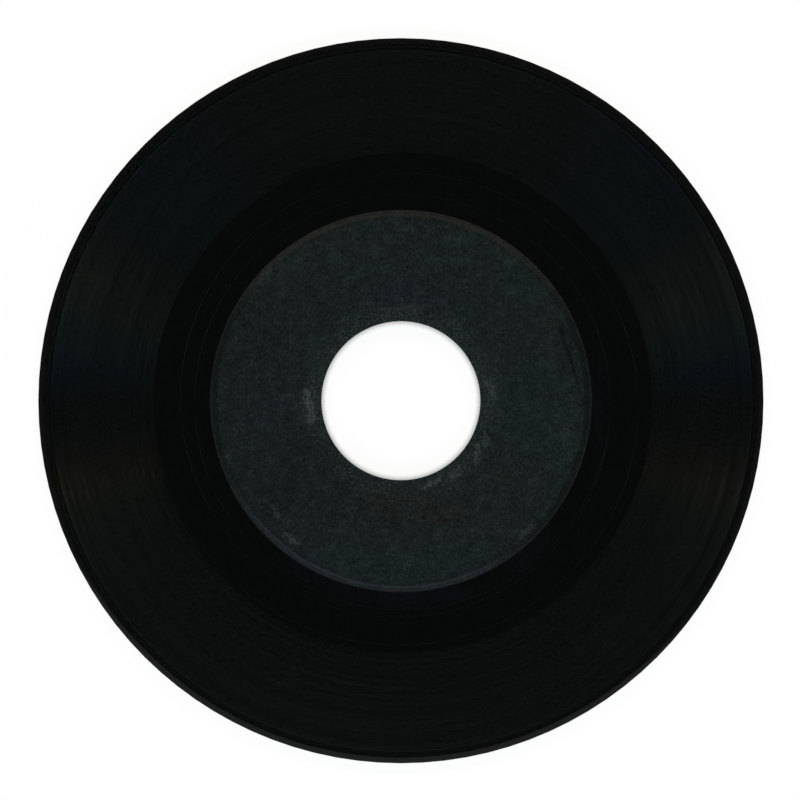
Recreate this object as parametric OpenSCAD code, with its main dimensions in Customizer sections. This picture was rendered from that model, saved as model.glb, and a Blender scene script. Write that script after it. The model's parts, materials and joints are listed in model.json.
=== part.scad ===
// A seven inch record with the large centre hole: one pressed vinyl disc
// with a paper label moulded flush into the raised centre of each face.
// The label's margin follows the rounded edge of that centre.
// It lies flat, side A up, with its axis on Z and its lower face at z = 0.
// All sizes are in millimetres.

/* [Disc] */
// Outer diameter of the trimmed disc
disc_d = 174.6; // [150:0.1:310]
// Thickness between the two playing faces
playing_thickness = 1.12; // [0.8:0.02:2.6]

/* [Centre hole] */
// Diameter of the punched centre hole
hole_d = 38.24; // [7:0.02:60]

/* [Paper labels] */
// Diameter of each paper label
label_d = 91.8; // [70:0.1:104]
// Thickness of the label paper, pressed in flush with the vinyl
label_paper = 0.12; // [0.06:0.01:0.3]
// Gap between the paper's edge and the wall of its seat
label_gap = 0.06; // [0.02:0.01:0.3]

/* [Raised centre] */
// How far the raised centre stands above each playing face
centre_rise = 0.44; // [0.1:0.01:0.8]
// Width of its rounded edge, down to the playing face
centre_edge = 1.9; // [0.8:0.02:6]
// Width of the bare vinyl between the label's seat and the playing face
centre_lip = 0.14; // [0.06:0.01:0.5]

/* [Rim] */
// How far the rim stands above each playing face
rim_rise = 0.04; // [0.02:0.01:0.3]
// Width of the rounded crown at the edge of the disc
rim_crown = 1.15; // [0.6:0.05:3]
// Width of the low slope from the playing face up to the crown
rim_slope = 0.3; // [0.1:0.05:2]
// Height of the upright edge that trimming leaves between the two crowns
rim_edge = 0.34; // [0.2:0.02:0.7]

/* [Groove] */
// Width of the drawn groove at the surface
groove_w = 0.24; // [0.1:0.01:0.3]
// Depth of the drawn groove
groove_depth = 0.08; // [0.04:0.01:0.15]
// Distance between neighbouring turns in the recorded band
groove_pitch = 0.8; // [0.6:0.05:2]
// Distance from the foot of the rim to the start of the lead-in turn
lead_in_inset = 0.15; // [0.15:0.05:1]
// Distance that the groove moves inwards over its lead-in turn
lead_in_pitch = 1.15; // [0.6:0.05:3]
// Distance from the foot of the raised centre to the last turn of the recorded band
dead_wax = 14; // [8:0.1:18]
// Distance from the foot of the raised centre to the closed groove that ends the side
lock_inset = 3.95; // [1:0.05:6]

/* [Hidden] */
$fn = 180;

// Smoothness of the rounded stretches of the outline
round_steps = 8;
// How unevenly the two rounded edges slope: 0 is a flat chamfer, 1 starts level
centre_ease = 0.85;
crown_ease = 0.4;
// Half turns of groove before the recorded band, and between it and the closed groove
lead_in_halves = 2;
run_out_halves = 3;
// How far the groove cutter stands out of the face
cutter_clear = 0.06;

hole_r = hole_d / 2;
disc_r = disc_d / 2;
label_r = label_d / 2;
seat_r = label_r + label_gap;
foot_r = seat_r + centre_lip;
crest_r = foot_r - centre_edge;
crown_r = disc_r - rim_crown;
rim_foot_r = crown_r - rim_slope;

// Heights above the middle of the disc
face_z = playing_thickness / 2;
centre_z = face_z + centre_rise;
rim_z = face_z + rim_rise;
edge_z = rim_edge / 2;

// The groove leads in from the rim, winds through the band and runs out to a closed groove.
// The band ends half a turn round from where it starts.
lead_in_r = rim_foot_r - lead_in_inset;
band_start_r = lead_in_r - lead_in_halves / 2 * lead_in_pitch;
band_turns = floor((band_start_r - foot_r - dead_wax) / groove_pitch - 0.5) + 0.5;
band_end_r = band_start_r - band_turns * groove_pitch;
lock_r = foot_r + lock_inset;
run_out_pitch = 2 * (band_end_r - lock_r) / run_out_halves;

// An S-shaped stretch of outline from one radius and height to another
function s_curve(r0, z0, r1, z1, steps) =
    [for (i = [0:steps]) let (t = i / steps)
        [r0 + (r1 - r0) * t, z1 + (z0 - z1) * (1 + cos(180 * t)) / 2]];

// Height at radius r on a circular arc that falls outwards, ever steeper, from
// one radius and height to another
function round_z(r, r0, z0, r1, z1, ease) =
    let (fall = atan2(z0 - z1, r1 - r0),
         first = fall * (1 - ease),
         last = fall * (1 + ease),
         arc_r = (r1 - r0) / (sin(last) - sin(first)))
    z0 - arc_r * (cos(first) - cos(asin(sin(first) + (r - r0) / arc_r)));

// Height of the raised centre at radius r: level, then falling to the playing face
function centre_top(r) =
    r > crest_r ? round_z(r, crest_r, centre_z, foot_r, face_z, centre_ease) : centre_z;

// Radii at which the label and its seat change slope
label_radii = concat([hole_r, crest_r],
    [for (i = [1:round_steps]) crest_r + (label_r - crest_r) * i / round_steps]);

// Outline of one face, from the centre hole to the trimmed edge
function face_outline() = concat(
    [for (r = concat(label_radii, [seat_r])) [r, centre_top(r) - label_paper]],
    [[seat_r, centre_top(seat_r)], [foot_r, face_z]],
    s_curve(rim_foot_r, face_z, crown_r, rim_z, round_steps),
    [for (i = [1:round_steps]) let (r = crown_r + rim_crown * i / round_steps)
        [r, round_z(r, crown_r, rim_z, disc_r, edge_z, crown_ease)]]
);

function mirrored(points) = [for (i = [len(points) - 1:-1:0]) [points[i][0], -points[i][1]]];

// Cross-section of the groove at each radius, open at the top
module groove_section(radii) {
    half_w = groove_w / 2 * (1 + cutter_clear / groove_depth);
    for (r = radii)
        polygon([[r, face_z - groove_depth],
                 [r + half_w, face_z + cutter_clear],
                 [r - half_w, face_z + cutter_clear]]);
}

// A spiral of whole and half turns that winds inwards as it runs anticlockwise.
// Its two halves are half circles whose centres stand a quarter pitch either
// side of the axis, so they meet end to end on the line between the centres.
module spiral_cutter(start_r, pitch, half_turns) {
    shift = pitch / 4;
    first_half = [for (k = [0:2:half_turns - 1]) start_r - shift - k * pitch / 2];
    second_half = [for (k = [1:2:half_turns - 1]) start_r - shift - k * pitch / 2];
    translate([shift, 0, 0]) rotate_extrude(angle = 180) groove_section(first_half);
    translate([-shift, 0, 0]) rotate([0, 0, 180])
        rotate_extrude(angle = 180) groove_section(second_half);
}

// The one groove of a face: lead-in, recorded band, run-out and closed groove
module face_groove() {
    spiral_cutter(lead_in_r, lead_in_pitch, lead_in_halves);
    spiral_cutter(band_start_r, groove_pitch, 2 * band_turns);
    rotate([0, 0, 180]) spiral_cutter(band_end_r, run_out_pitch, run_out_halves);
    rotate_extrude() groove_section([lock_r]);
}

module vinyl_disc() {
    color([0.045, 0.05, 0.05]) translate([0, 0, centre_z]) difference() {
        rotate_extrude() polygon(concat(face_outline(), mirrored(face_outline())));
        face_groove();
        rotate([180, 0, 0]) face_groove();
    }
}

// A paper ring of even thickness that lies in its seat
module paper_label() {
    rotate_extrude() polygon(concat(
        [for (i = [len(label_radii) - 1:-1:0]) [label_radii[i], centre_top(label_radii[i])]],
        [for (r = label_radii) [r, centre_top(r) - label_paper]]));
}

module label_side_a() {
    color([0.1, 0.12, 0.12]) translate([0, 0, centre_z]) paper_label();
}

module label_side_b() {
    color([0.1, 0.12, 0.12]) translate([0, 0, centre_z]) rotate([180, 0, 0]) paper_label();
}

vinyl_disc();
label_side_a();
label_side_b();
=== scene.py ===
# %% [markdown]
# A seven inch record, dressed for a picture. The real thing is one disc of black
# vinyl with a paper label pressed into each face. The construction model gives
# its true sizes, and this lesson adds what the eye sees: the fine groove, the
# worn paper, the scuffs, and light that a glossy black disc can show itself in.

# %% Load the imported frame
import json
import math

import bmesh
import bpy
from mathutils import Matrix, Vector, noise


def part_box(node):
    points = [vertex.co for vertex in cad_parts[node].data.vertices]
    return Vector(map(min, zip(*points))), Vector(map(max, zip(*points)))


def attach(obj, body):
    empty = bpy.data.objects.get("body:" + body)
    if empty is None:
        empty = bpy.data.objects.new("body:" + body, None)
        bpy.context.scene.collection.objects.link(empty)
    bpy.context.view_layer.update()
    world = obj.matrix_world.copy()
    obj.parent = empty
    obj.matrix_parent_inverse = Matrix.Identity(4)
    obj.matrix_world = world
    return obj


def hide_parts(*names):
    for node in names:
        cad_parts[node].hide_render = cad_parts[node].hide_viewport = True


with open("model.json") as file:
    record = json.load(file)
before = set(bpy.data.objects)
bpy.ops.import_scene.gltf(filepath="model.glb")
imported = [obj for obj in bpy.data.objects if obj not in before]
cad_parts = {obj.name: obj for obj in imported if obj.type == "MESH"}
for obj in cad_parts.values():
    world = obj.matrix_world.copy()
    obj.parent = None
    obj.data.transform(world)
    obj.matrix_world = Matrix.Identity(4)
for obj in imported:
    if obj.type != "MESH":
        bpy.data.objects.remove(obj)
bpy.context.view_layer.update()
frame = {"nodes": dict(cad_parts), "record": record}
print("frame nodes:", sorted(frame["nodes"]))

# %% [markdown]
# Sizes come first. Blender works in metres, but a record is easier to think of
# in millimetres, so one factor turns them. What the frame can tell is read from
# the frame: the disc's radius, its thickness, the hole and the label. The few
# sizes that it can't tell are named here once, as in the construction model. Only
# the crown of the rim is a quarter of a millimetre wider here, because the pale
# light along the real rim shows it so.

# %% Driving sizes
MM = 0.001

disc_low, disc_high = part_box("vinyl_disc")
label_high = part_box("label_side_a")[1]
hole_mount = next(m for m in frame["record"]["mounts"] if m["name"] == "centre_hole")

middle_z = (disc_low.z + disc_high.z) / 2
disc_r = min(disc_high.x, disc_high.y, -disc_low.x, -disc_low.y)
hole_r = hole_mount["dims"]["r_mm"] * MM
label_r = min(label_high.x, label_high.y)
centre_z = label_high.z - middle_z

playing_thickness = 1.12 * MM
label_paper = 0.12 * MM
label_gap = 0.06 * MM
centre_lip = 0.14 * MM
centre_edge = 1.9 * MM
rim_rise = 0.04 * MM
rim_crown = 1.4 * MM
rim_slope = 0.3 * MM
rim_edge = 0.34 * MM
centre_ease = 0.85
crown_ease = 0.4
band_outer_r = 84.55 * MM
band_inner_r = 60.15 * MM
groove_offset = (0.34 * MM, -0.39 * MM)

face_z = playing_thickness / 2
rim_z = face_z + rim_rise
edge_z = rim_edge / 2
seat_r = label_r + label_gap
foot_r = seat_r + centre_lip
crest_r = foot_r - centre_edge
crown_r = disc_r - rim_crown
rim_foot_r = crown_r - rim_slope
print("disc radius", round(disc_r / MM, 3), "mm, centre", round(2 * centre_z / MM, 3), "mm thick")

# %% [markdown]
# The photograph looks straight down, from far enough away that the record has no
# perspective to speak of. A long lens a metre and a half above does the same, and
# it is aimed so that the disc fills nine tenths of a square picture.

# %% Camera
camera_height = 1.5
picture_side = 800
pixels_per_metre = 4157
picture_offset = (0.9, 0.7)

camera_data = bpy.data.cameras.new("camera")
camera = bpy.data.objects.new("camera", camera_data)
bpy.context.scene.collection.objects.link(camera)
camera_data.sensor_width = 36
camera_data.lens = pixels_per_metre * camera_data.sensor_width * camera_height / picture_side
camera.location = (
    -picture_offset[0] / pixels_per_metre,
    picture_offset[1] / pixels_per_metre,
    disc_high.z + camera_height,
)
bpy.context.scene.camera = camera
bpy.context.scene.view_settings.view_transform = "Standard"
print("lens", round(camera_data.lens, 1), "mm")

# %% [markdown]
# Small helpers save typing. One puts a finished mesh into the scene as a piece
# with smooth shading, and keeps an edge sharp where two faces meet at more than
# a set angle: the walls of a groove are sharp, the turn of a rim isn't.

# %% Helper for finished pieces
SHARP_ANGLE = math.radians(14)


def make_piece(name, shape, material):
    """Turns a bmesh into a piece, with its sharp edges marked and the rest smooth."""
    bmesh.ops.recalc_face_normals(shape, faces=shape.faces)
    for face in shape.faces:
        face.smooth = True
    for edge in shape.edges:
        edge.smooth = edge.calc_face_angle(math.pi) < SHARP_ANGLE
    mesh = bpy.data.meshes.new(name)
    shape.to_mesh(mesh)
    shape.free()
    mesh.materials.append(material)
    piece = bpy.data.objects.new(name, mesh)
    bpy.context.scene.collection.objects.link(piece)
    triangles = sum(len(polygon.vertices) - 2 for polygon in mesh.polygons)
    print(name, triangles, "triangles")
    return piece


# %% [markdown]
# A material is a small network of nodes. This builder class keeps such a network
# readable: each method adds one node, joins its inputs, and hands back the
# output that the next step needs. A number goes in as it is, and an output from
# another node is linked.

# %% Helper for node networks
class Network:
    """Adds nodes to one node tree and joins them."""

    def __init__(self, tree):
        self.tree = tree

    def feed(self, socket, value):
        """Gives a socket a number, a vector or a colour, or links it to an output."""
        if isinstance(value, bpy.types.NodeSocket):
            self.tree.links.new(value, socket)
        else:
            socket.default_value = value

    def node(self, kind, inputs=None, **settings):
        """Adds a node, sets its options and feeds its inputs by name or number."""
        made = self.tree.nodes.new(kind)
        for name, value in settings.items():
            setattr(made, name, value)
        for key, value in (inputs or {}).items():
            self.feed(made.inputs[key], value)
        return made

    def math(self, operation, first, second=0.0):
        return self.node("ShaderNodeMath", {0: first, 1: second}, operation=operation).outputs[0]

    def vector(self, operation, first, second):
        return self.node("ShaderNodeVectorMath", {0: first, 1: second}, operation=operation).outputs[0]

    def length(self, vector):
        return self.node("ShaderNodeVectorMath", {0: vector}, operation="LENGTH").outputs["Value"]

    def ramp(self, value, low, high, start=0.0, end=1.0):
        """Turns values from low to high into start to end, with soft ends."""
        inputs = {"Value": value, "From Min": low, "From Max": high, "To Min": start, "To Max": end}
        return self.node("ShaderNodeMapRange", inputs, interpolation_type="SMOOTHSTEP").outputs[0]

    def bell(self, value, middle, reach):
        """1 where a value is the middle one, falling softly to 0 at its reach."""
        away = self.math("ABSOLUTE", self.math("SUBTRACT", value, middle))
        return self.ramp(away, 0.0, reach, 1.0, 0.0)

    def blend(self, share, first, second, mode="MIX"):
        """Mixes two colours."""
        inputs = {0: share, 6: first, 7: second}
        return self.node("ShaderNodeMix", inputs, data_type="RGBA", blend_type=mode).outputs[2]

    def noise(self, vector, scale, detail=2.0, roughness=0.5):
        inputs = {"Vector": vector, "Scale": scale, "Detail": detail, "Roughness": roughness}
        return self.node("ShaderNodeTexNoise", inputs).outputs[0]

    def mapping(self, vector, location=(0, 0, 0), rotation=(0, 0, 0), scale=(1, 1, 1)):
        inputs = {"Vector": vector, "Location": location, "Rotation": rotation, "Scale": scale}
        return self.node("ShaderNodeMapping", inputs).outputs[0]

    def place(self):
        """Where a point lies on the piece, in millimetres."""
        metres = self.node("ShaderNodeTexCoord").outputs["Object"]
        return self.mapping(metres, scale=(1 / MM, 1 / MM, 1 / MM))

    def radius(self, place):
        """How far a place is from the record's axis."""
        return self.length(self.mapping(place, scale=(1, 1, 0)))

    def mask(self, tree, inputs):
        """Places one of the node groups below and gives back its mask."""
        made = self.node("ShaderNodeGroup", node_tree=tree)
        for name, value in inputs.items():
            self.feed(made.inputs[name], value)
        return made.outputs["Mask"]


def new_mask_group(name, inputs):
    """Starts a node group with named inputs and one mask.

    It gives back the network, the outputs of its input node and the socket for the mask.
    """
    tree = bpy.data.node_groups.new(name, "ShaderNodeTree")
    kinds = {float: "NodeSocketFloat", tuple: "NodeSocketVector"}
    for socket_name, value in inputs.items():
        socket = tree.interface.new_socket(socket_name, in_out="INPUT", socket_type=kinds[type(value)])
        socket.default_value = value
    tree.interface.new_socket("Mask", in_out="OUTPUT", socket_type="NodeSocketFloat")
    network = Network(tree)
    given = network.node("NodeGroupInput").outputs
    mask = network.node("NodeGroupOutput").inputs["Mask"]
    return network, given, mask


# %% [markdown]
# Wear comes in patches: a stain, a faded spot, a place that hands keep touching.
# On the real record each has a soft edge that wanders. One group makes them all:
# it measures the distance from a centre, given in millimetres, and lets a slow
# noise push the rim of the patch in and out.

# %% Group for soft patches
PATCH_FADE = 1.35
PATCH_PUSH = 2.0


def make_patch_group():
    network, given, mask = new_mask_group(
        "soft_patch",
        {"Vector": (0.0, 0.0, 0.0), "Centre": (0.0, 0.0, 0.0), "Size": (5.0, 5.0, 9.0), "Wander": 0.5},
    )
    away = network.vector("SUBTRACT", given["Vector"], given["Centre"])
    length = network.length(network.vector("DIVIDE", away, given["Size"]))
    push = network.math("MULTIPLY", network.math("SUBTRACT", given["Wander"], 0.5), PATCH_PUSH)
    network.feed(mask, network.ramp(network.math("ADD", length, push), 0.0, PATCH_FADE, 1.0, 0.0))
    return network.tree


patch_group = make_patch_group()

# %% [markdown]
# A rub leaves strokes. Where the adapter or a thumb slid over the paper, its pile
# is torn up in short parallel lines, dense in the middle and few at the edge. The
# group turns its own small frame, squeezes a noise into long streaks along it,
# and keeps the highest of them inside an oval.

# %% Group for rubbed strokes
STROKE_SQUEEZE = 0.3
STROKE_SOFTNESS = 0.1
NEEDED_OUTSIDE = 0.64
NEEDED_LESS_INSIDE = 0.3
STROKE_FADE = 0.5
STROKE_REACH = 1.2
PILE_PER_MM = 2.6
PILE_KEPT = (0.36, 0.58)


def make_stroke_group():
    network, given, mask = new_mask_group(
        "rubbed_strokes",
        {
            "Vector": (0.0, 0.0, 0.0),
            "Centre": (0.0, 0.0, 0.0),
            "Size": (2.0, 5.0, 9.0),
            "Turn": 0.0,
            "Fineness": 2.0,
        },
    )
    away = network.vector("SUBTRACT", given["Vector"], given["Centre"])
    turned = network.node(
        "ShaderNodeVectorRotate", {"Vector": away, "Angle": given["Turn"]}, rotation_type="Z_AXIS"
    ).outputs[0]
    length = network.length(network.vector("DIVIDE", turned, given["Size"]))
    squeezed = network.mapping(turned, scale=(1.0, STROKE_SQUEEZE, 1.0))
    streaks = network.noise(squeezed, given["Fineness"], 3.0, 0.7)
    inside = network.ramp(length, 0.0, STROKE_REACH, 1.0, 0.0)
    less_inside = network.math("MULTIPLY", inside, NEEDED_LESS_INSIDE)
    needed = network.math("SUBTRACT", NEEDED_OUTSIDE, less_inside)
    strokes = network.ramp(network.math("SUBTRACT", streaks, needed), 0.0, STROKE_SOFTNESS)
    pile = network.noise(given["Vector"], PILE_PER_MM, 2.0, 0.6)
    strokes = network.math("MULTIPLY", strokes, network.ramp(pile, *PILE_KEPT))
    fade = network.ramp(length, STROKE_FADE, STROKE_REACH, 1.0, 0.0)
    network.feed(mask, network.math("MULTIPLY", strokes, fade))
    return network.tree


stroke_group = make_stroke_group()

# %% [markdown]
# Dust is the cheapest realism there is. Voronoi cells scatter points evenly, and
# only a small disc round each point is kept. A second noise decides which points
# survive, so that the specks come in uneven company, as real dust does.

# %% Group for dust specks
def make_dust_group():
    network, given, mask = new_mask_group(
        "dust_specks", {"Vector": (0.0, 0.0, 0.0), "Scale": 0.2, "Size": 0.05, "Amount": 0.5}
    )
    cells = network.node("ShaderNodeTexVoronoi", {"Vector": given["Vector"], "Scale": given["Scale"]})
    reach = network.math("MULTIPLY", given["Size"], given["Scale"])
    speck = network.math("LESS_THAN", cells.outputs["Distance"], reach)
    kept = network.node("ShaderNodeSeparateColor", {0: cells.outputs["Color"]}).outputs[0]
    chosen = network.math("LESS_THAN", kept, given["Amount"])
    network.feed(mask, network.math("MULTIPLY", speck, chosen))
    return network.tree


dust_group = make_dust_group()
print("groups:", patch_group.name, stroke_group.name, dust_group.name)

# %% [markdown]
# Pressed vinyl is black through and through, with a hard, clear gloss. What keeps
# it from looking like a hole in the picture is small: a bluish film that a cloth
# left beside the label, grey handling marks along the rim with a painted dark line
# of shade left at its foot, dust, and a fine grain that wear has left on the
# grooved band. The base colour stays almost black, and the gloss comes from a low
# roughness and the vinyl's own refractive index of 1.53.

# %% Vinyl
VINYL_BLACK = (0.0017, 0.0021, 0.00185, 1)
FILM_BLUE = (0.0030, 0.0038, 0.0058, 1)
HANDLED_GREY = (0.0030, 0.0031, 0.0031, 1)
DUST_GREY = (0.05, 0.052, 0.05, 1)
VINYL_IOR = 1.53
VINYL_ROUGHNESS = (0.085, 0.10)
TONE_RANGE = 8.0
WANDER_PER_MM = 0.12

GRAIN_PER_MM = 2.2
GRAIN_PLAIN = 0.6
GRAIN_GROOVED = 1.5
DUST_PER_MM = 0.16
DUST_SIZE_MM = 0.085
DUST_AMOUNT = 0.3
DUST_COVER = 0.6
DUST_ROUGHNESS = 0.5

# Centre and size in millimetres, and strength
FILM_PATCHES = (
    ((6, -47.5, 0), (26, 5, 60), 0.9),
    ((30, -37, 0), (8, 12, 60), 0.7),
    ((-22, -42, 0), (14, 5, 60), 0.5),
    ((47.3, -3, 0), (2.6, 17, 60), 0.6),
    ((14, 46.6, 0), (8, 2.4, 60), 0.4),
)


def wiped_film(network, place, radius, wander):
    """Patches beside the label, streaked by the cloth and gone a few millimetres further out."""
    film = 0.0
    for centre, size, share in FILM_PATCHES:
        inputs = {"Vector": place, "Centre": centre, "Size": size, "Wander": wander}
        patch = network.mask(patch_group, inputs)
        film = network.math("MAXIMUM", film, network.math("MULTIPLY", patch, share))
    cloth_place = network.mapping(place, rotation=(0, 0, -0.9), scale=(0.9, 0.16, 1))
    streaks = network.ramp(network.noise(cloth_place, 1.0, 3.0, 0.6), 0.38, 0.62, 0.35, 1.0)
    film = network.math("MULTIPLY", film, streaks)
    foot = foot_r / MM
    return network.math("MULTIPLY", film, network.ramp(radius, foot + 2.0, foot + 6.0, 1.0, 0.0))


def handling_marks_and_foot_shade(network, radius, wander):
    """Grey marks outside the band, left off the foot of the rim, where a painted dark line of shade
    stays.
    """
    band_end = band_outer_r / MM
    marks = network.ramp(radius, band_end + 0.4, band_end + 0.65)
    marks = network.math("MULTIPLY", marks, network.ramp(wander, 0.3, 0.6, 0.7, 1.0))
    # Painted shade: the foot of the rim keeps no grey, so a dark line stays there
    rim_foot_shade = network.bell(radius, rim_foot_r / MM, 0.26)
    return network.math("MULTIPLY", marks, network.math("SUBTRACT", 1.0, rim_foot_shade))


def make_vinyl():
    material = bpy.data.materials.new("pressed_vinyl")
    material.use_nodes = True
    network = Network(material.node_tree)
    shader = material.node_tree.nodes["Principled BSDF"]
    shader.inputs["IOR"].default_value = VINYL_IOR
    place = network.place()
    radius = network.radius(place)
    wander = network.noise(place, WANDER_PER_MM, 3.0, 0.6)
    colour = network.blend(wiped_film(network, place, radius, wander), VINYL_BLACK, FILM_BLUE)
    colour = network.blend(handling_marks_and_foot_shade(network, radius, wander), colour, HANDLED_GREY)

    band_start = band_inner_r / MM
    grain = network.math("SUBTRACT", network.noise(place, GRAIN_PER_MM, 2.0, 0.6), 0.5)
    strength = network.ramp(radius, band_start, band_start + 0.5, GRAIN_PLAIN, GRAIN_GROOVED)
    grain_tone = network.math("POWER", TONE_RANGE, network.math("MULTIPLY", grain, strength))
    colour = network.blend(1.0, colour, grain_tone, "MULTIPLY")

    inputs = {"Vector": place, "Scale": DUST_PER_MM, "Size": DUST_SIZE_MM, "Amount": DUST_AMOUNT}
    dust = network.mask(dust_group, inputs)
    colour = network.blend(network.math("MULTIPLY", dust, DUST_COVER), colour, DUST_GREY)
    network.feed(shader.inputs["Base Color"], colour)
    gloss = network.ramp(wander, 0.3, 0.7, *VINYL_ROUGHNESS)
    roughness = network.math("ADD", gloss, network.math("MULTIPLY", dust, DUST_ROUGHNESS))
    network.feed(shader.inputs["Roughness"], roughness)
    print("vinyl:", len(material.node_tree.nodes), "nodes")
    return material


vinyl = make_vinyl()

# %% [markdown]
# The outline of one half of the disc runs from the mid-plane at the trimmed edge,
# over the crown, down to the playing face, across it, up the raised centre and
# along the seat of the label to the hole. Its curved stretches use the same
# formulas as the construction model, with more points.

# %% Outline curves
def round_fall(radius, r0, z0, r1, z1, ease):
    """Height on a circular arc that falls outwards, ever steeper, between two points."""
    fall = math.atan2(z0 - z1, r1 - r0)
    first = fall * (1 - ease)
    last = fall * (1 + ease)
    arc_r = (r1 - r0) / (math.sin(last) - math.sin(first))
    angle = math.asin(math.sin(first) + (radius - r0) / arc_r)
    return z0 - arc_r * (math.cos(first) - math.cos(angle))


def centre_top(radius):
    """Height of the raised centre: level, then falling to the playing face."""
    if radius <= crest_r:
        return centre_z
    return round_fall(radius, crest_r, centre_z, foot_r, face_z, centre_ease)


def spaced(start, end, steps):
    """Evenly spaced values from start to end, without start itself."""
    return [start + (end - start) * i / steps for i in range(1, steps + 1)]


CROWN_STEPS = 8
SLOPE_STEPS = 5


def crown_outline():
    """From the mid-plane at the trimmed edge to the foot of the rim."""
    points = [(disc_r, 0), (disc_r, edge_z)]
    for radius in spaced(disc_r, crown_r, CROWN_STEPS):
        points.append((radius, round_fall(radius, crown_r, rim_z, disc_r, edge_z, crown_ease)))
    for radius in spaced(crown_r, rim_foot_r, SLOPE_STEPS):
        share = (crown_r - radius) / rim_slope
        points.append((radius, face_z + (rim_z - face_z) * (1 + math.cos(math.pi * share)) / 2))
    return points


def centre_outline():
    """From the foot of the raised centre, over its lip and along the seat, to the hole."""
    lip_z = centre_top(seat_r)
    points = [(foot_r, face_z), (seat_r, lip_z), (seat_r, lip_z - label_paper)]
    for radius in spaced(seat_r, crest_r, SLOPE_STEPS):
        points.append((radius, centre_top(radius) - label_paper))
    points += [(hole_r, centre_z - label_paper), (hole_r, 0)]
    return points


print("outline points:", len(crown_outline()), "on the rim and", len(centre_outline()), "on the centre")


# %% [markdown]
# The groove is one line, some sixty metres long on each side. It leads in from
# the rim, winds through the recorded band, runs out in a turn and a half and ends
# on the edge of a closed circle. Its radius is written as a function of the number
# of turns since it began, so that any point of it can be asked for. The real one
# is cut about 0.08 mm wide, and its turns lie 0.18 mm apart. Its width and the lean
# of its inner wall follow the sound, which is what the eye reads as faint rings.

# %% Route of the groove
groove_w = 0.085 * MM
outer_wall = math.radians(46)
inner_wall_outside = math.radians(38.6)
inner_wall_inside = math.radians(40.6)
wall_wobble = math.radians(2.2)
lock_r = 50.05 * MM
lock_w = 0.128 * MM
groove_pitch = 0.18 * MM
lead_in_turns = 1
run_out_turns = 1.5

band_turns = math.floor((band_outer_r - band_inner_r) / groove_pitch) + 0.5
band_pitch = (band_outer_r - band_inner_r) / band_turns
whole_turns = round(lead_in_turns + band_turns + run_out_turns)


def ease(value):
    """0 below 0, 1 above 1, and a soft rise between."""
    value = min(1, max(0, value))
    return value * value * (3 - 2 * value)


def groove_radius(turn):
    """Radius of the groove's middle line after so many turns."""
    if turn < lead_in_turns:
        return rim_foot_r + (band_outer_r - rim_foot_r) * turn / lead_in_turns
    turn -= lead_in_turns
    if turn < band_turns:
        return band_outer_r - band_pitch * turn
    share = (turn - band_turns) / run_out_turns
    return band_inner_r + (lock_r + lock_w / 2 - band_inner_r) * share


CHANGE_PER_MM = 1.4
CHANGE_ROUND = 0.8
WALL_LAYER = 0
WIDTH_LAYER = 40


def unevenness(turn, layer):
    """A smooth value from -1 to 1 that changes fast from turn to turn and slowly along a turn."""
    around = 2 * math.pi * turn
    radius = groove_radius(turn) / MM
    x = CHANGE_ROUND * math.cos(around) + layer
    y = CHANGE_ROUND * math.sin(around)
    return noise.noise(Vector((CHANGE_PER_MM * radius, x, y)))


# Radius and reach of a passage in millimetres, and how much wider it is cut
PASSAGES = ((69.2, 0.5, 0.25), (62.4, 0.4, 0.25), (84.5, 0.25, 0.6), (81.5, 0.6, -0.3))
RUN_OUT_EXTRA = 0.5
RUN_OUT_CHANGE = 0.3
WIDTH_WOBBLE = 0.2
OPENING_TURNS = 0.1
CLOSING_TURNS = 0.03


def groove_width(turn):
    """The groove opens and closes softly at its ends, and is cut wider in louder passages."""
    radius = groove_radius(turn) / MM
    share = 1 + WIDTH_WOBBLE * unevenness(turn, WIDTH_LAYER)
    for middle, reach, extra in PASSAGES:
        share += extra * math.exp(-((radius - middle) / reach) ** 2)
    share += RUN_OUT_EXTRA * ease((band_inner_r / MM - radius) / RUN_OUT_CHANGE)
    return groove_w * share * ease(turn / OPENING_TURNS) * ease((whole_turns - turn) / CLOSING_TURNS)


def inner_wall(turn):
    """Slope of the inner wall. It grows towards the centre, and no two turns are quite alike."""
    share = (band_outer_r - groove_radius(turn)) / (band_outer_r - band_inner_r)
    lean = inner_wall_outside + (inner_wall_inside - inner_wall_outside) * min(1, max(0, share))
    return lean + wall_wobble * unevenness(turn, WALL_LAYER)


DRIFT_BEND = 0.4


def groove_shift(turn):
    """The groove drifts a little off the centre on its way in, as if the stamper had sat askew."""
    way_in = (rim_foot_r - groove_radius(turn)) / (rim_foot_r - band_inner_r)
    share = min(1, max(0, way_in)) ** DRIFT_BEND
    return groove_offset[0] * share, groove_offset[1] * share


print("turns on each side:", whole_turns, "with", round(band_pitch / MM, 4), "mm between them")

# %% [markdown]
# How does a lathe-turned shape become a spiral? The outline holds three points for
# each turn of groove: two edges and the bottom. Spun round the axis as a screw, it
# gives closed rings whose height tells how far round each point is. Then every
# ring slides along the groove's own route, so that the end of one turn lands on
# the start of the next, and merging the doubles joins them into one line.

# %% Spin and slide the disc
SPIN_STEPS = 104
SCREW_RISE = 0.01
MERGE_DISTANCE = 1e-7
CORNERS = 3
TURN_OVER = Matrix.Rotation(math.pi, 3, "X")


def groove_point(middle_r, width, inner_slope, corner):
    """One corner of the groove's cross-section: 0 the outer edge, 1 the bottom, 2 the inner edge."""
    depth = width / (1 / math.tan(outer_wall) + 1 / math.tan(inner_slope))
    outer_edge = middle_r + width / 2
    if corner == 0:
        return outer_edge, face_z
    if corner == 1:
        return outer_edge - depth / math.tan(outer_wall), face_z - depth
    return outer_edge - width, face_z


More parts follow.
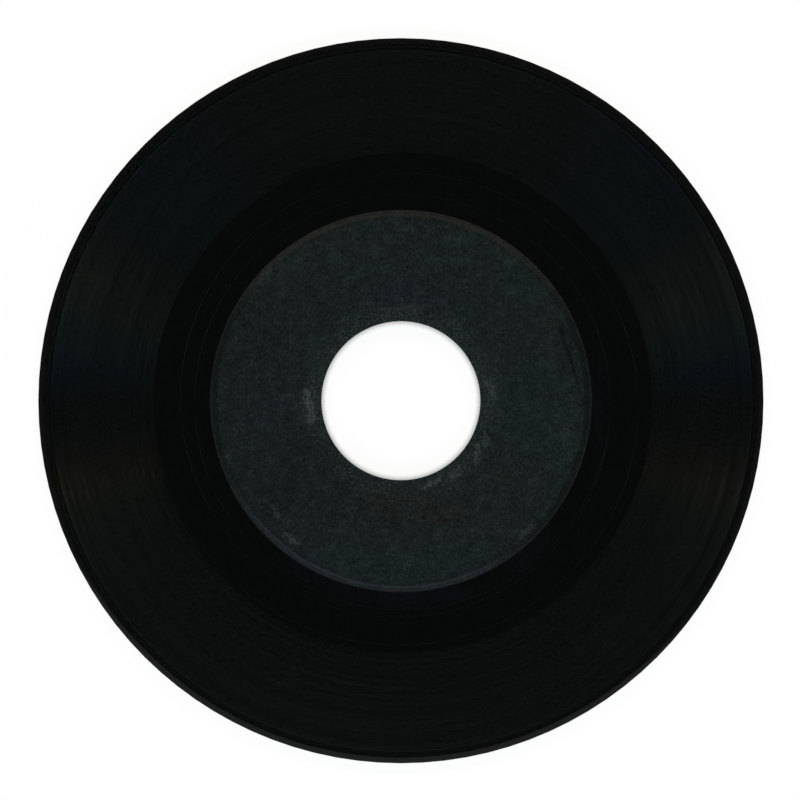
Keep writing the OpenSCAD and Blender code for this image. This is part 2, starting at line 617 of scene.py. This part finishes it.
def make_disc():
    shape = bmesh.new()
    ring = shape.verts.layers.int.new("ring")
    crown = crown_outline()
    centre = centre_outline()
    groove_start = len(crown)
    groove_points = CORNERS * (whole_turns + 1)
    groove_end = groove_start + groove_points
    flat = [(radius, face_z) for radius in spaced(rim_foot_r, foot_r, groove_points)]
    outline = []
    for index, (radius, height) in enumerate(crown + flat + centre):
        point = shape.verts.new((radius, 0, height))
        point[ring] = index
        outline.append(point)
    lines = [shape.edges.new(pair) for pair in zip(outline, outline[1:])]
    bmesh.ops.spin(
        shape, geom=outline + lines, cent=(0, 0, 0), axis=(0, 0, 1),
        dvec=(0, 0, SCREW_RISE), angle=2 * math.pi, steps=SPIN_STEPS,
        use_merge=False, use_normal_flip=False, use_duplicate=False,
    )
    for point in shape.verts:
        step = round((point.co.z - middle_z) / SCREW_RISE)
        around = step / SPIN_STEPS
        index = point[ring]
        shift = (0, 0)
        if index < groove_start:
            radius, height = crown[index]
        elif index >= groove_end:
            radius, height = centre[index - groove_end]
        else:
            number, corner = divmod(index - groove_start, CORNERS)
            turn = min(number + around, whole_turns)
            section = (groove_radius(turn), groove_width(turn), inner_wall(turn))
            if number == whole_turns:
                section = (lock_r, lock_w, inner_wall_inside)
            radius, height = groove_point(*section, corner)
            shift = groove_shift(turn)
        angle = 2 * math.pi * (step % SPIN_STEPS) / SPIN_STEPS
        point.co = (radius * math.cos(angle) + shift[0], radius * math.sin(angle) + shift[1], height)
    bmesh.ops.remove_doubles(shape, verts=shape.verts, dist=MERGE_DISTANCE)
    half = shape.verts[:] + shape.edges[:] + shape.faces[:]
    turned = bmesh.ops.duplicate(shape, geom=half)["geom"]
    turned_points = [item for item in turned if isinstance(item, bmesh.types.BMVert)]
    bmesh.ops.rotate(shape, verts=turned_points, cent=(0, 0, 0), matrix=TURN_OVER)
    bmesh.ops.remove_doubles(shape, verts=shape.verts, dist=MERGE_DISTANCE)
    bmesh.ops.translate(shape, verts=shape.verts, vec=(0, 0, middle_z))
    open_edges = sum(1 for edge in shape.edges if len(edge.link_faces) != 2)
    print("disc:", len(shape.faces), "faces,", open_edges, "open edges")
    return make_piece("vinyl_disc_grooved", shape, vinyl)


disc = make_disc()
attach(disc, "root")
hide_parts("vinyl_disc")

# %% [markdown]
# The label is uncoated paper the colour of wet slate, and decades have marked it.
# Its fibres make a light and dark mottle. Broad stains lean it to violet, green
# and, below the hole, to brown. Strokes round the hole show where the adapter was
# pushed in. The margin, bent down over the edge of the raised centre, is brown
# with wear and painted lighter at the top, with a painted blue sheen at the
# bottom and painted shade at the sides. It has a dark line of painted shade in
# its crease, a painted highlight on its ridge and the pale line of the cut paper,
# and a fold at the right is darkened with painted shade. Paper hardly shines,
# so its gloss is set very low.

# %% Colours and places of the label's wear and painted light
SLATE = (0.0086, 0.0125, 0.0126, 1)
STAINS = {
    "violet": (0.0086, 0.0114, 0.0127, 1),
    "brown": (0.0101, 0.0114, 0.0107, 1),
    "green": (0.0085, 0.0129, 0.0123, 1),
    "dark": (0.0069, 0.0100, 0.0100, 1),
    "pale": (0.0137, 0.0190, 0.0184, 1),
}
RUBBED_PALE = (0.0619, 0.0762, 0.0726, 1)
# Margin colours: brown wear, painted lighter as if lit, at the top; a painted blue sheen at the bottom;
# painted shade at the sides
MARGIN_BROWN_WEAR_AND_LIT = (0.0138, 0.0144, 0.0130, 1)
MARGIN_PAINTED_BLUE_SHEEN = (0.0106, 0.0136, 0.0154, 1)
MARGIN_PAINTED_SIDE_SHADE = (0.0057, 0.0071, 0.0077, 1)
CUT_EDGE = (0.0149, 0.0157, 0.0152, 1)

# The painted shade of the fold at the right: its lean in radians, then where it runs and how far it
# reaches
FOLD_TURN = -0.3
FOLD_ACROSS = (41.8, 0.6)
FOLD_ALONG = (-1.4, 15.0)

# Kind, centre and size in millimetres, and strength
STAIN_PATCHES = (
    ("violet", (-34, 6, 0), (12, 20, 9), 0.9),
    ("violet", (-27, -24, 0), (17, 15, 9), 1.0),
    ("violet", (0, 26.5, 0), (24, 7, 9), 1.0),
    ("violet", (27, 12, 0), (8, 11, 9), 0.8),
    ("brown", (2, -25.5, 0), (26, 10, 9), 1.0),
    ("brown", (-23, -14, 0), (9, 12, 9), 0.9),
    ("brown", (24, -18, 0), (11, 7, 9), 0.7),
    ("brown", (37, 17, 0), (4, 10, 9), 0.6),
    ("green", (34, -4, 0), (12, 20, 9), 0.9),
    ("green", (-9, 36, 0), (18, 9, 9), 0.8),
    ("violet", (-27, 23, 0), (15, 13, 9), 0.9),
    ("green", (8, -39, 0), (26, 7, 9), 0.9),
    ("dark", (-27, -20, 0), (15, 14, 9), 0.8),
    ("dark", (-24, 22, 0), (14, 9, 9), 0.35),
    ("dark", (-36, 14, 0), (10, 20, 9), 0.5),
    ("dark", (40.5, 13, 0), (3, 10, 9), 0.6),
    ("pale", (-22.3, -1.5, 0), (3.5, 7, 9), 0.5),
    ("pale", (22.5, 2, 0), (4, 10, 9), 0.25),
    ("pale", (17, -15, 0), (7, 6, 9), 0.15),
    ("pale", (9, -20, 0), (8, 3.5, 9), 0.25),
    ("pale", (38, -9, 0), (4, 8, 9), 0.08),
    ("pale", (-31, 30, 0), (8, 7, 9), 0.2),
    ("pale", (-27, -33, 0), (6, 5, 9), 0.15),
)

# Centre and size in millimetres, lean in radians, fineness of the strokes and strength
RUBBED_PATCHES = (
    ((-22.2, -0.3, 0), (2.4, 5.8, 9), -0.05, 2.2, 0.65),
    ((-21.6, -4.4, 0), (1.8, 3.0, 9), 0.3, 2.6, 0.4),
    ((21.6, 2.6, 0), (1.8, 6.5, 9), -0.5, 2.6, 0.25),
    ((20.3, -9.6, 0), (1.4, 3.4, 9), 0.0, 2.6, 0.3),
    ((18.2, -12.8, 0), (1.8, 4.4, 9), 0.15, 2.4, 0.45),
    ((7.4, -19.9, 0), (1.4, 4.6, 9), 1.1, 2.4, 0.6),
    ((13.0, -17.6, 0), (2.0, 4.2, 9), 0.7, 2.6, 0.35),
    ((0.0, 22.3, 0), (1.6, 12.0, 9), 1.5, 2.2, 0.12),
    ((-26.3, -33.3, 0), (1.8, 3.6, 9), -0.9, 2.4, 0.4),
    ((30.0, -31.6, 0), (1.8, 4.5, 9), 0.8, 2.4, 0.25),
    ((-30.0, -27.0, 0), (1.6, 3.2, 9), -0.6, 2.4, 0.25),
    ((-33.0, 30.0, 0), (1.8, 7.0, 9), 0.8, 2.4, 0.2),
    ((39.5, -9.0, 0), (2.4, 6.0, 9), 0.2, 2.4, 0.12),
)


# %% [markdown]
# The material is put together in four steps: the stains, the folded margin with
# its brown wear and its painted light and shade, the mottle of the fibres with the
# painted highlight of the ridge and the painted shade of the crease and the fold,
# and the rubs. Tones are added up first and then used as a power, so that each of
# them darkens or lightens by the same share, whatever the tint below it.

# %% Steps of the label's wear and its painted light and shade
PAPER_GLOSS = 0.04
PAPER_ROUGHNESS = 0.7
FIBRE_RELIEF = 0.03 * MM
FIBRE_TONE = 1.45
COARSE_SHARE = 0.6
CLUMP_TONE = 0.55
MARGIN_CALM = 0.55
# Painted highlight on the margin's ridge, faint at the top and strong at the bottom
TOP_RIDGE_PAINTED_HIGHLIGHT = 0.06
BOTTOM_RIDGE_PAINTED_HIGHLIGHT = 0.24
# Painted shade in the margin's crease and along the fold
CREASE_PAINTED_SHADE = 0.12
FOLD_PAINTED_SHADE = 0.32
CUT_COVER = 0.8

# Patches of the noise per millimetre, along and across the paper's grain
COARSE_FIBRES = (1.6, 1.3, 1)
FINE_FIBRES = (3.6, 2.8, 1)
CLUMPS_PER_MM = 0.4
PAPER_WANDER_PER_MM = 0.13
MARGIN_WANDER = 2.6

# Radii on the margin, in millimetres
CREASE_R = 44.2
RIDGE_R = 44.88
CUT_R = 45.72


def stained(network, place, radius, height, wander):
    """Slate, with its broad stains and a paler zone round the hole."""
    tint = SLATE
    for stain, centre, size, share in STAIN_PATCHES:
        inputs = {"Vector": place, "Centre": centre, "Size": size, "Wander": wander}
        mask = network.mask(patch_group, inputs)
        tint = network.blend(network.math("MULTIPLY", mask, share), tint, STAINS[stain])
    hole = hole_r / MM
    near_hole = network.ramp(radius, hole + 0.5, hole + 5.0, 1.0, 0.0)
    near_hole = network.math("MULTIPLY", near_hole, network.ramp(height, -16.0, 4.0, 0.1, 0.4))
    return network.blend(near_hole, tint, STAINS["pale"])


def margined(network, tint, radius, margin_radius, top, bottom):
    """The margin: brown wear and painted light on top, painted blue sheen below, painted side shade,
    pale cut edge.
    """
    margin_wear_and_painted_light = network.blend(top, network.blend(bottom, MARGIN_PAINTED_SIDE_SHADE, MARGIN_PAINTED_BLUE_SHEEN), MARGIN_BROWN_WEAR_AND_LIT)
    tint = network.blend(network.ramp(margin_radius, CREASE_R - 0.1, CREASE_R + 0.4), tint, margin_wear_and_painted_light)
    cut = network.bell(radius, CUT_R, 0.22)
    return network.blend(network.math("MULTIPLY", cut, CUT_COVER), tint, CUT_EDGE)


def paper_tone(network, place, radius, margin_radius, top, bottom, fibres, clumps):
    """Light and dark of the fibres, calmer on the margin, with a painted highlight on its ridge and
    painted shade where it creases and folds.
    """
    fibre_tone = network.math("MULTIPLY", network.math("SUBTRACT", fibres, 0.5), FIBRE_TONE)
    clump_tone = network.math("MULTIPLY", network.math("SUBTRACT", clumps, 0.5), CLUMP_TONE)
    tone = network.math("ADD", fibre_tone, clump_tone)
    calm = network.ramp(margin_radius, CREASE_R - 0.2, CREASE_R + 0.4, 1.0, MARGIN_CALM)
    tone = network.math("MULTIPLY", tone, calm)
    # Painted highlight along the margin's ridge, strongest at the bottom
    top_ridge_highlight = network.math("MULTIPLY", top, TOP_RIDGE_PAINTED_HIGHLIGHT)
    bottom_ridge_highlight = network.math("MULTIPLY", bottom, BOTTOM_RIDGE_PAINTED_HIGHLIGHT)
    ridge_highlight_tone = network.math("ADD", top_ridge_highlight, bottom_ridge_highlight)
    ridge = network.math("MULTIPLY", network.bell(radius, RIDGE_R, 0.42), ridge_highlight_tone)
    tone = network.math("ADD", tone, ridge)
    # Painted shade: a dark line in the margin's crease
    crease_shade = network.bell(margin_radius, CREASE_R, 0.4)
    tone = network.math("SUBTRACT", tone, network.math("MULTIPLY", crease_shade, CREASE_PAINTED_SHADE))
    # Painted shade along the fold at the right
    fold_place = network.mapping(place, rotation=(0, 0, FOLD_TURN))
    across = network.node("ShaderNodeSeparateXYZ", {0: fold_place}).outputs
    fold_width = network.bell(across["X"], *FOLD_ACROSS)
    fold_length = network.bell(across["Y"], *FOLD_ALONG)
    fold_shade = network.math("MULTIPLY", fold_width, fold_length)
    return network.math("SUBTRACT", tone, network.math("MULTIPLY", fold_shade, FOLD_PAINTED_SHADE))


TORN_PER_MM = 2.0
TORN_KEPT = (0.57, 0.68)
TORN_AT_HOLE = 0.6
TORN_IN_CLUMPS = 0.25


def rubbed(network, colour, place, radius, clumps):
    """Torn specks round the hole and in some clumps, and the strokes of the rubs."""
    hole = hole_r / MM
    torn = network.ramp(network.noise(place, TORN_PER_MM, 2.0, 0.7), *TORN_KEPT)
    around_hole = network.ramp(radius, hole + 1.0, hole + 7.0, TORN_AT_HOLE, 0.0)
    speckled = network.ramp(clumps, 0.58, 0.72, 0.0, TORN_IN_CLUMPS)
    torn = network.math("MULTIPLY", torn, network.math("MAXIMUM", around_hole, speckled))
    colour = network.blend(torn, colour, RUBBED_PALE)
    for centre, size, lean, fineness, share in RUBBED_PATCHES:
        inputs = {"Vector": place, "Centre": centre, "Size": size, "Turn": lean, "Fineness": fineness}
        mask = network.mask(stroke_group, inputs)
        colour = network.blend(network.math("MULTIPLY", mask, share), colour, RUBBED_PALE)
    return colour


def make_label_material(name, turn):
    """Slate paper. The wear of the second label is turned, so that the two faces differ."""
    material = bpy.data.materials.new(name)
    material.use_nodes = True
    network = Network(material.node_tree)
    shader = material.node_tree.nodes["Principled BSDF"]
    shader.inputs["Specular IOR Level"].default_value = PAPER_GLOSS
    shader.inputs["Roughness"].default_value = PAPER_ROUGHNESS
    place = network.mapping(network.place(), rotation=turn)
    radius = network.radius(place)
    axes = network.node("ShaderNodeSeparateXYZ", {0: place}).outputs

    coarse = network.noise(network.mapping(place, scale=COARSE_FIBRES), 1.0, 1.0, 0.5)
    fine = network.noise(network.mapping(place, scale=FINE_FIBRES), 1.0, 1.0, 0.5)
    coarse = network.math("MULTIPLY", coarse, COARSE_SHARE)
    fine = network.math("MULTIPLY", fine, 1 - COARSE_SHARE)
    fibres = network.math("ADD", coarse, fine)
    clumps = network.noise(place, CLUMPS_PER_MM, 2.0, 0.5)
    wander = network.noise(place, PAPER_WANDER_PER_MM, 3.0, 0.6)
    sway = network.math("MULTIPLY", network.math("SUBTRACT", wander, 0.5), MARGIN_WANDER)
    margin_radius = network.math("ADD", radius, sway)
    # Top and bottom of the margin: where the brown wear and its painted light lie, and the painted
    # sheen and ridge highlight
    top = network.ramp(axes["Y"], 14.0, 40.0)
    leaning = network.math("ADD", axes["Y"], network.math("MULTIPLY", axes["X"], 0.25))
    bottom = network.ramp(leaning, -42.0, -20.0, 1.0, 0.0)

    tint = stained(network, place, radius, axes["Y"], wander)
    tint = margined(network, tint, radius, margin_radius, top, bottom)
    tone = paper_tone(network, place, radius, margin_radius, top, bottom, fibres, clumps)
    colour = network.blend(1.0, tint, network.math("POWER", TONE_RANGE, tone), "MULTIPLY")
    network.feed(shader.inputs["Base Color"], rubbed(network, colour, place, radius, clumps))
    bump = network.node("ShaderNodeBump", {"Height": fibres, "Distance": FIBRE_RELIEF, "Strength": 0.5})
    network.feed(shader.inputs["Normal"], bump.outputs[0])
    print(name + ":", len(material.node_tree.nodes), "nodes")
    return material


# %% [markdown]
# Each label is a ring of even thickness, so its outline goes out along the top and
# back along the bottom, and one full spin closes it.

# %% Labels
LABEL_STEPS = 208
MARGIN_STEPS = 10


def make_label(name, flip, material):
    radii = [hole_r, crest_r] + spaced(crest_r, label_r, MARGIN_STEPS)
    top = [(radius, centre_top(radius)) for radius in radii]
    bottom = [(radius, centre_top(radius) - label_paper) for radius in reversed(radii)]
    shape = bmesh.new()
    outline = [shape.verts.new((radius, 0, height)) for radius, height in top + bottom]
    lines = [shape.edges.new((outline[i - 1], outline[i])) for i in range(len(outline))]
    bmesh.ops.spin(
        shape, geom=outline + lines, cent=(0, 0, 0), axis=(0, 0, 1),
        dvec=(0, 0, 0), angle=2 * math.pi, steps=LABEL_STEPS,
        use_merge=True, use_normal_flip=False, use_duplicate=False,
    )
    bmesh.ops.remove_doubles(shape, verts=shape.verts, dist=MERGE_DISTANCE)
    if flip:
        bmesh.ops.rotate(shape, verts=shape.verts, cent=(0, 0, 0), matrix=TURN_OVER)
    bmesh.ops.translate(shape, verts=shape.verts, vec=(0, 0, middle_z))
    return make_piece(name, shape, material)


OTHER_WEAR_TURN = 2.4
for side, flip, turn in (("a", False, (0, 0, 0)), ("b", True, (math.pi, 0, OTHER_WEAR_TURN))):
    paper = make_label_material("label_paper_" + side, turn)
    label = make_label("paper_label_" + side, flip, paper)
    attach(label, "root")
    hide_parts("label_side_" + side)

# %% [markdown]
# The floor is plain and white. Most of what it shows is its own glow, which only
# the camera sees, so that it stays white under soft light. The glow dims where
# something stands within a millimetre or so: that is the soft grey line inside
# the hole. The rest is ordinary paint, and it takes the record's wider shadow. From
# below, the floor is clear, or it would hide the record from there.

# %% Floor
FLOOR_SIZE = 6
FLOOR_DROP = 0.02 * MM
FLOOR_PAINT = (0.9, 0.9, 0.9, 1)
FLOOR_ROUGHNESS = 0.9
FLOOR_GLOW = 0.93
CONTACT_REACH = 1.3 * MM

# In radii of the hole: the glow may dim inside the first, and never outside the second
DIM_REACH = (1.2, 1.6)


def make_floor():
    material = bpy.data.materials.new("floor_white")
    material.use_nodes = True
    network = Network(material.node_tree)
    tree = material.node_tree
    paint = tree.nodes["Principled BSDF"]
    paint.inputs["Base Color"].default_value = FLOOR_PAINT
    paint.inputs["Roughness"].default_value = FLOOR_ROUGHNESS
    paint.inputs["Specular IOR Level"].default_value = 0
    contact = network.node("ShaderNodeAmbientOcclusion", {"Distance": CONTACT_REACH}, samples=8)
    radius = network.length(network.node("ShaderNodeTexCoord").outputs["Object"])
    outside = network.ramp(radius, hole_r * DIM_REACH[0], hole_r * DIM_REACH[1])
    strength = network.math("MAXIMUM", contact.outputs["AO"], outside)
    glow = network.node("ShaderNodeEmission", {"Color": (1, 1, 1, 1), "Strength": strength})
    rays = network.node("ShaderNodeLightPath").outputs
    seen = network.math("MULTIPLY", rays["Is Camera Ray"], FLOOR_GLOW)
    mix = network.node("ShaderNodeMixShader", {0: seen, 1: paint.outputs[0], 2: glow.outputs[0]})
    clear = network.node("ShaderNodeBsdfTransparent").outputs[0]
    from_below = network.node("ShaderNodeNewGeometry").outputs["Backfacing"]
    sided = network.node("ShaderNodeMixShader", {0: from_below, 1: mix.outputs[0], 2: clear})
    network.feed(tree.nodes["Material Output"].inputs["Surface"], sided.outputs[0])
    shape = bmesh.new()
    bmesh.ops.create_grid(shape, x_segments=1, y_segments=1, size=FLOOR_SIZE / 2)
    bmesh.ops.translate(shape, verts=shape.verts, vec=(0, 0, -FLOOR_DROP))
    return make_piece("floor", shape, material)


floor = make_floor()

# %% [markdown]
# A glossy black disc shows only what it mirrors. Straight down it mirrors what is
# overhead, so overhead is dark. The walls of the groove mirror a low belt of the
# room, so a dim glow stands there, all round the horizon. Real grooves also split
# the light into faint wedges of tan, blue and teal, left and right. A renderer has
# no such effect, so the belt itself holds these colours, each at its own place
# round the horizon. They are strongest at the top of the belt, which the outer
# turns mirror, because their walls lean less. The inner turns mirror its foot,
# which is paler in front and leans to blue behind.

# %% World
# The glow overhead, and of the middle heights in front and behind. They change over in the
# middle of the room, which reaches from -1 in front to 1 behind.
ZENITH = 0.012
MIDDLE_FRONT = 0.085
MIDDLE_BACK = 0.038
MIDDLE_CHANGE = (-0.6, 0.3)

# The glow of the belt at its top and at its foot
STRIP_GLOW = 2.72
STRIP_GLOW_LOW = 1.3 * STRIP_GLOW

# At the foot of the belt: the share of the strips' colour in front and behind, the blue
# behind, and the degrees round the horizon where it is fullest and how far it reaches
FOOT_SHARES = (0.25, 0.4)
FOOT_CHANGE = (-5, 5)
FOOT_BLUE = (0.155, 0.27, 0.29, 1)
FOOT_BLUE_PLACE = (42, 24)

# Elevations in degrees: where the belt gains its colour, where it ends, and the dark overhead
BELT_COLOUR = (8, 13)
BELT_END = (16, 26)
OVERHEAD = (50, 72)
PLAIN_STRIP = (0.150, 0.180, 0.163, 1)

# Degrees round the horizon from the side, towards the back, and colour
STRIPS = (
    (-90, PLAIN_STRIP), (-36, PLAIN_STRIP), (-27, (0.24, 0.27, 0.26, 1)), (-21, (0.26, 0.34, 0.29, 1)),
    (-15, (0.72, 0.62, 0.45, 1)), (-12, (0.44, 0.34, 0.24, 1)), (-8, (0.16, 0.10, 0.08, 1)),
    (-5, (0.03, 0.03, 0.03, 1)), (0, (0.03, 0.02, 0.08, 1)), (3, (0.05, 0.11, 0.30, 1)),
    (6, (0.10, 0.24, 0.46, 1)), (10, (0.21, 0.48, 0.58, 1)), (15, (0.34, 0.54, 0.54, 1)),
    (21, (0.52, 0.58, 0.50, 1)), (25, (0.34, 0.40, 0.38, 1)), (30, (0.20, 0.25, 0.27, 1)),
    (36, (0.13, 0.17, 0.26, 1)), (45, (0.11, 0.16, 0.28, 1)), (54, (0.14, 0.15, 0.25, 1)),
    (62, (0.14, 0.16, 0.17, 1)), (70, PLAIN_STRIP), (90, PLAIN_STRIP),
)


def climb(network, height, elevations, start, end):
    """A ramp over a stretch of elevation, for a height that is the sine of it."""
    low, high = (math.sin(math.radians(degrees)) for degrees in elevations)
    return network.ramp(height, low, high, start, end)


def make_world():
    world = bpy.data.worlds.new("studio")
    bpy.context.scene.world = world
    world.use_nodes = True
    network = Network(world.node_tree)
    rays = network.node("ShaderNodeLightPath").outputs
    direction = network.node("ShaderNodeTexCoord").outputs["Generated"]
    way = network.node("ShaderNodeSeparateXYZ", {0: direction}).outputs
    height = way["Z"]
    around = network.math("ARCTAN2", way["Y"], network.math("ABSOLUTE", way["X"]))
    share = network.math("ADD", network.math("DIVIDE", around, math.pi), 0.5)
    strips = network.node("ShaderNodeValToRGB", {0: share})
    stops = strips.color_ramp.elements
    stops.remove(stops[1])
    for number, (degrees, colour) in enumerate(STRIPS):
        stop = stops[0] if number == 0 else stops.new(degrees / 180 + 0.5)
        stop.position = degrees / 180 + 0.5
        stop.color = colour
    turned = network.math("DEGREES", around)
    foot = network.blend(network.bell(turned, *FOOT_BLUE_PLACE), PLAIN_STRIP, FOOT_BLUE)
    foot_share = network.ramp(turned, *FOOT_CHANGE, *FOOT_SHARES)
    colourful = climb(network, height, BELT_COLOUR, foot_share, 1.0)
    level = climb(network, height, BELT_COLOUR, STRIP_GLOW_LOW, STRIP_GLOW)
    belt = network.blend(colourful, foot, strips.outputs[0])
    belt = network.blend(1.0, belt, level, "MULTIPLY")
    middle = network.ramp(way["Y"], *MIDDLE_CHANGE, MIDDLE_FRONT, MIDDLE_BACK)
    overhead = climb(network, height, OVERHEAD, 0.0, 1.0)
    above = network.blend(overhead, middle, (ZENITH, ZENITH, ZENITH, 1))
    glow = network.blend(climb(network, height, BELT_END, 1.0, 0.0), above, belt)
    glow = network.blend(rays["Is Camera Ray"], glow, (1, 1, 1, 1))
    network.feed(world.node_tree.nodes["Background"].inputs["Color"], glow)
    print("strips round the horizon:", len(STRIPS))


make_world()

# %% [markdown]
# Lamps light what is dull: the paper, the film and the dust. Four soft boxes stand
# low, two warm ones behind and two cool ones in front, so that the fibres and the
# folded margin of the label get some shape. In the vinyl they would flare white
# wherever a wall of the groove faces one of them. A photographer moves the boxes
# until they don't, and here a lamp can simply be left out of every reflection. The
# fifth panel is wide and dim and is meant to be mirrored: it draws the pale
# crescent on the rim.

# %% Lamps
LAMP_DISTANCE = 1.3


def add_panel(name, around, elevation, size, power, shape, colour, mirrored):
    """A soft box that faces the middle of the disc. around and elevation are in degrees."""
    data = bpy.data.lights.new(name, "AREA")
    data.shape = shape
    data.size, data.size_y = size
    data.energy = power
    data.color = colour
    lamp = bpy.data.objects.new(name, data)
    a = math.radians(around)
    e = math.radians(elevation)
    direction = Vector((math.cos(a) * math.cos(e), math.sin(a) * math.cos(e), math.sin(e)))
    lamp.location = direction * LAMP_DISTANCE
    lamp.rotation_euler = lamp.location.to_track_quat("Z", "Y").to_euler()
    lamp.visible_camera = False
    lamp.visible_glossy = mirrored
    bpy.context.scene.collection.objects.link(lamp)


WHITE = (1, 1, 1)
WARM = (1.0, 0.93, 0.85)
COOL = (0.93, 0.99, 1.06)
KEY_PLACES = ((67.5, WARM), (112.5, WARM), (247.5, COOL), (292.5, COOL))
KEY_ELEVATION = 24
KEY_SIZE = (0.6, 0.2)
KEY_POWER = 10.2
for number, (around, colour) in enumerate(KEY_PLACES):
    name = f"key_panel_{number}"
    add_panel(name, around, KEY_ELEVATION, KEY_SIZE, KEY_POWER, "RECTANGLE", colour, mirrored=False)

RIM_AROUND = 264
RIM_ELEVATION = 38.5
RIM_SIZE = (2.8, 1.5)
RIM_POWER = 1.7
add_panel("rim_panel", RIM_AROUND, RIM_ELEVATION, RIM_SIZE, RIM_POWER, "ELLIPSE", WHITE, mirrored=True)
print("lamps:", len(KEY_PLACES) + 1)
